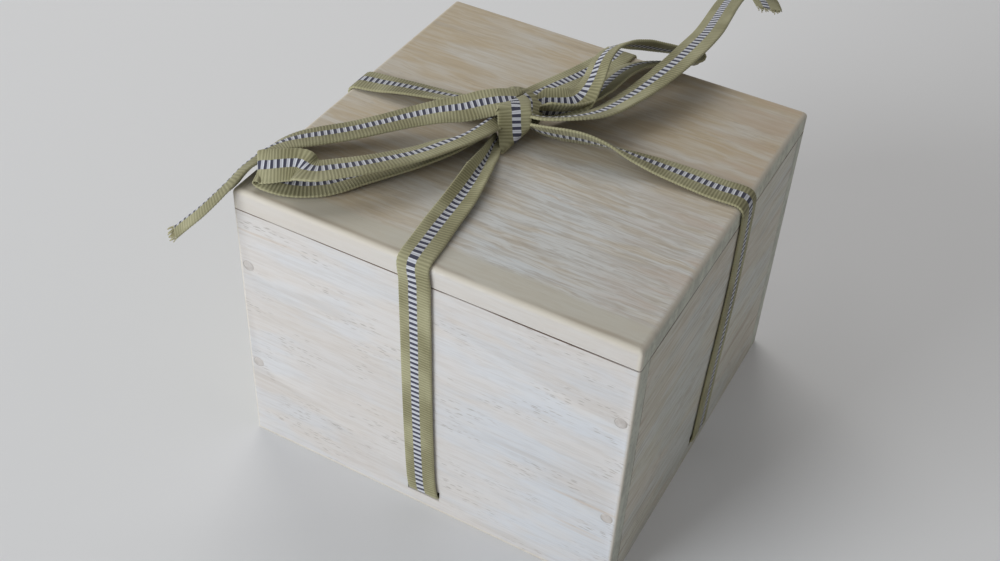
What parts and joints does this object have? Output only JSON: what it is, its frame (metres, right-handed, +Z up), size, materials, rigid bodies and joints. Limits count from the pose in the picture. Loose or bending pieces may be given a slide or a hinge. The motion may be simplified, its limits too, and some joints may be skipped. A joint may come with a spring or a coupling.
{
  "type": "lidded storage box",
  "caption": "Wooden keeping box with a battened lift-off lid, a raised grooved bottom and a flat woven cord tied in a bow on top.",
  "frame": {"origin": "under the centre of the box, on the surface that it stands on, measured without the bow", "axes": "+X to the box's right, +Y to its back, +Z up"},
  "size_m": [0.16, 0.2231, 0.1274],
  "materials": {
    "box_wood": "pale unvarnished paulownia, planed, with fine straight grain",
    "inner_wood": "pale unvarnished paulownia, planed",
    "wood_peg": "darker wooden pegs, cut flush",
    "woven_cord": "olive flat woven cotton cord with a stripe of white and dark blue bars"
  },
  "bodies": {
    "box": {"front_wall": "box_wood", "back_wall": "box_wood", "left_wall": "box_wood", "right_wall": "box_wood", "bottom_board": "inner_wood", "corner_peg_front_left_1": "wood_peg", "corner_peg_front_left_2": "wood_peg", "corner_peg_front_right_1": "wood_peg", "corner_peg_front_right_2": "wood_peg", "corner_peg_back_left_1": "wood_peg", "corner_peg_back_left_2": "wood_peg", "corner_peg_back_right_1": "wood_peg", "corner_peg_back_right_2": "wood_peg", "cord_pass_front_back": "woven_cord", "cord_pass_left_right": "woven_cord"},
    "lid": {"lid_board": "box_wood", "lid_batten_front": "inner_wood", "lid_batten_back": "inner_wood", "lid_batten_left": "inner_wood", "lid_batten_right": "inner_wood", "batten_peg_front_1": "wood_peg", "batten_peg_front_2": "wood_peg", "batten_peg_back_1": "wood_peg", "batten_peg_back_2": "wood_peg", "batten_peg_left_1": "wood_peg", "batten_peg_left_2": "wood_peg", "batten_peg_right_1": "wood_peg", "batten_peg_right_2": "wood_peg", "cord_top_front": "woven_cord", "cord_top_right": "woven_cord", "cord_top_left": "woven_cord", "cord_top_back": "woven_cord", "cord_knot": "woven_cord", "cord_wrap": "woven_cord", "cord_loop_left": "woven_cord", "cord_loop_right": "woven_cord", "cord_tail_left": "woven_cord", "cord_tail_right": "woven_cord"}
  },
  "joints": [
    {"name": "lid_lift", "type": "slide", "parent": "box", "child": "lid", "axis": [0, 0, 1], "range_m": [0, 0.03]}
  ]
}
